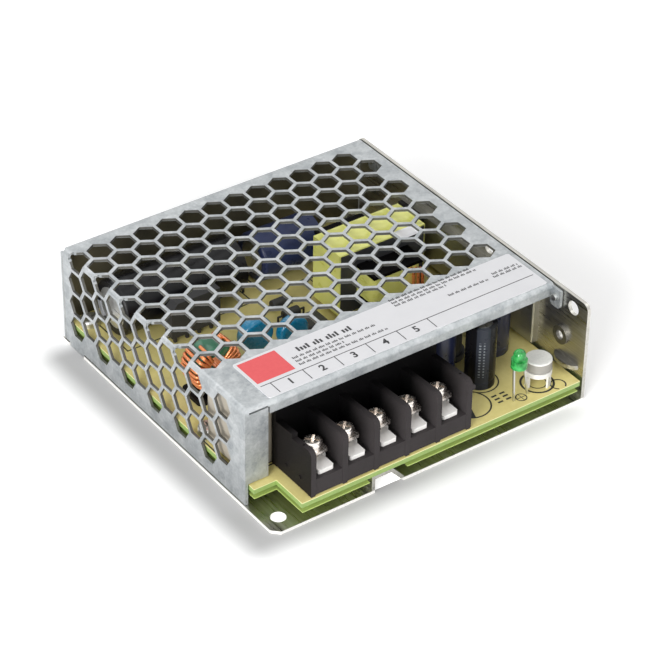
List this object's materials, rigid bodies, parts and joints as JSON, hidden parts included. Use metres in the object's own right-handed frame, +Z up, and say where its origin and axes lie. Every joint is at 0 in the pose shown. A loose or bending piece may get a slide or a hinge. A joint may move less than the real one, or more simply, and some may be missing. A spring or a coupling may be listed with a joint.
{
  "type": "mesh case switching power supply",
  "caption": "Enclosed switching power supply: folded tray, hexagon-mesh cover, open barrier terminals with turning clamp screws, indicator lamp and turning voltage adjuster.",
  "frame": {"origin": "bottom centre of the case, on the surface it stands on", "axes": "+X to the right along the terminal side, +Y from the terminals to the rear, +Z up"},
  "size_m": [0.097, 0.099, 0.03],
  "materials": {
    "tray_aluminium": "natural mill finish",
    "galvanised_steel": "galvanised sheet, satin",
    "nut_steel": "zinc plated",
    "label_film": "printed film, semi-gloss",
    "board_laminate": "pale laminate with black silkscreen",
    "insulating_film": "translucent film",
    "black_moulding": "moulded, fine texture",
    "tinned_contact": "tin plated",
    "screw_steel": "nickel plated",
    "lamp_green": "translucent green",
    "lead_wire": "tinned wire",
    "trimmer_ceramic": "pale ceramic",
    "knob_grey": "satin grey",
    "box_beige": "moulded box with potting",
    "fuse_brown": "moulded",
    "core_green": "green coated ring",
    "copper_wire": "enamelled copper",
    "disc_blue": "dipped coating",
    "disc_green": "dipped coating",
    "can_aluminium": "bare can",
    "sleeve_black": "shrunk sleeve",
    "sleeve_navy": "shrunk sleeve",
    "rubber_bung": "moulded rubber",
    "ferrite": "sintered ferrite",
    "tape_yellow": "polyester tape",
    "spreader_aluminium": "extruded bar",
    "chip_black": "moulded epoxy",
    "part_tan": "lacquered"
  },
  "bodies": {
    "root": {"board_screws": "nut_steel", "board_spacers": "nut_steel", "bridge_rectifier": "chip_black", "bulk_capacitor_bung": "rubber_bung", "bulk_capacitor_can": "can_aluminium", "bulk_capacitor_sleeve": "sleeve_black", "chassis_tray": "tray_aluminium", "choke_core": "core_green", "choke_stand": "black_moulding", "choke_windings": "copper_wire", "circuit_board": "board_laminate", "clinch_nuts": "nut_steel", "control_chip": "chip_black", "cover_screws": "nut_steel", "diodes": "chip_black", "front_capacitor_can": "can_aluminium", "front_capacitor_sleeve": "sleeve_black", "front_label": "label_film", "heat_spreader": "spreader_aluminium", "input_fuse": "fuse_brown", "insulation_film": "insulating_film", "jumper_wires": "lead_wire", "led_legs": "lead_wire", "mesh_cover": "galvanised_steel", "optocoupler": "chip_black", "output_capacitor_cans": "can_aluminium", "output_capacitor_sleeves": "sleeve_navy", "output_choke": "ferrite", "output_rectifier": "chip_black", "package_screws": "nut_steel", "power_transistor": "chip_black", "resistors": "part_tan", "safety_capacitor": "disc_blue", "second_capacitor_bung": "rubber_bung", "second_capacitor_can": "can_aluminium", "second_capacitor_sleeve": "sleeve_navy", "status_led": "lamp_green", "terminal_block": "black_moulding", "terminal_contacts": "tinned_contact", "thermistor": "disc_green", "transformer_bobbin": "black_moulding", "transformer_core": "ferrite", "transformer_leads": "copper_wire", "transformer_tape": "tape_yellow", "transformer_winding": "tape_yellow", "trimmer_base": "trimmer_ceramic", "varistor": "disc_blue", "x_capacitor": "box_beige"},
    "clamp_1": {"clamp_washer_1": "screw_steel"},
    "screw_1": {"terminal_screw_1": "screw_steel"},
    "clamp_2": {"clamp_washer_2": "screw_steel"},
    "screw_2": {"terminal_screw_2": "screw_steel"},
    "clamp_3": {"clamp_washer_3": "screw_steel"},
    "screw_3": {"terminal_screw_3": "screw_steel"},
    "clamp_4": {"clamp_washer_4": "screw_steel"},
    "screw_4": {"terminal_screw_4": "screw_steel"},
    "clamp_5": {"clamp_washer_5": "screw_steel"},
    "screw_5": {"terminal_screw_5": "screw_steel"},
    "adjuster": {"trimmer_knob": "knob_grey"}
  },
  "joints": [
    {"name": "clamp_lift_1", "type": "slide", "parent": "root", "child": "clamp_1", "axis": [0, 0, 1], "range_m": [-0.0019, 0.001]},
    {"name": "screw_turn_1", "type": "hinge", "parent": "clamp_1", "child": "screw_1", "pos_m": [-0.0321, -0.0418, 0.016], "axis": [0, 0, 1], "range_deg": [-1370, 722]},
    {"name": "clamp_lift_2", "type": "slide", "parent": "root", "child": "clamp_2", "axis": [0, 0, 1], "range_m": [-0.0019, 0.001]},
    {"name": "screw_turn_2", "type": "hinge", "parent": "clamp_2", "child": "screw_2", "pos_m": [-0.0226, -0.0418, 0.016], "axis": [0, 0, 1], "range_deg": [-1370, 722]},
    {"name": "clamp_lift_3", "type": "slide", "parent": "root", "child": "clamp_3", "axis": [0, 0, 1], "range_m": [-0.0019, 0.001]},
    {"name": "screw_turn_3", "type": "hinge", "parent": "clamp_3", "child": "screw_3", "pos_m": [-0.0131, -0.0418, 0.016], "axis": [0, 0, 1], "range_deg": [-1370, 722]},
    {"name": "clamp_lift_4", "type": "slide", "parent": "root", "child": "clamp_4", "axis": [0, 0, 1], "range_m": [-0.0019, 0.001]},
    {"name": "screw_turn_4", "type": "hinge", "parent": "clamp_4", "child": "screw_4", "pos_m": [-0.0036, -0.0418, 0.016], "axis": [0, 0, 1], "range_deg": [-1370, 722]},
    {"name": "clamp_lift_5", "type": "slide", "parent": "root", "child": "clamp_5", "axis": [0, 0, 1], "range_m": [-0.0019, 0.001]},
    {"name": "screw_turn_5", "type": "hinge", "parent": "clamp_5", "child": "screw_5", "pos_m": [0.0059, -0.0418, 0.016], "axis": [0, 0, 1], "range_deg": [-1370, 722]},
    {"name": "adjuster_turn", "type": "hinge", "parent": "root", "child": "adjuster", "pos_m": [0.0372, -0.0438, 0.0122], "axis": [0, 0, 1], "range_deg": [-130, 130]}
  ],
  "couplings": [
    {"joint": "screw_turn_1", "follows": "clamp_lift_1", "rad_per_m": 12566},
    {"joint": "screw_turn_2", "follows": "clamp_lift_2", "rad_per_m": 12566},
    {"joint": "screw_turn_3", "follows": "clamp_lift_3", "rad_per_m": 12566},
    {"joint": "screw_turn_4", "follows": "clamp_lift_4", "rad_per_m": 12566},
    {"joint": "screw_turn_5", "follows": "clamp_lift_5", "rad_per_m": 12566}
  ]
}
